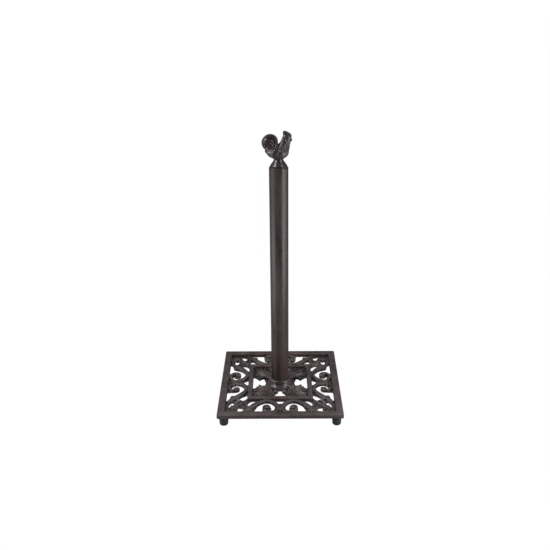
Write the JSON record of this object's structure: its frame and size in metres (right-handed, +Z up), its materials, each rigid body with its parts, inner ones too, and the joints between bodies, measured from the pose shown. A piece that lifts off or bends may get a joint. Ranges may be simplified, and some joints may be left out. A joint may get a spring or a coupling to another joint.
{
  "type": "paper towel holder",
  "caption": "Free-standing paper towel holder: openwork square cast-iron base on rubber feet, upright steel tube and a rooster finial.",
  "frame": {"origin": "centre of the base's square outline, on the surface that the rubber feet rest on", "axes": "+Z up along the post, +X the way the rooster faces, the base's sides parallel to X and Y"},
  "size_m": [0.152, 0.152, 0.3391],
  "materials": {
    "antique_iron": "dark brown-black antique paint over cast iron, satin, with brownish purple mottling and lighter worn ridges",
    "antique_tube": "dark brown-black antique paint on a smooth steel tube, satin, with soft brown streaks",
    "zinc_steel": "dull zinc-plated steel fasteners",
    "black_rubber": "matt blue-black moulded rubber"
  },
  "bodies": {
    "stand": {"base_casting": "antique_iron", "post_tube": "antique_tube", "tie_rod": "zinc_steel", "flat_washer": "zinc_steel", "spring_washer": "zinc_steel", "clamp_nut": "zinc_steel", "rubber_cap_front_left": "black_rubber", "rubber_cap_front_right": "black_rubber", "rubber_cap_back_left": "black_rubber", "rubber_cap_back_right": "black_rubber"},
    "finial": {"finial_casting": "antique_iron"}
  },
  "joints": [
    {"name": "finial_unscrew", "type": "slide", "parent": "stand", "child": "finial", "axis": [0, 0, 1], "range_m": [0, 0.01]}
  ]
}
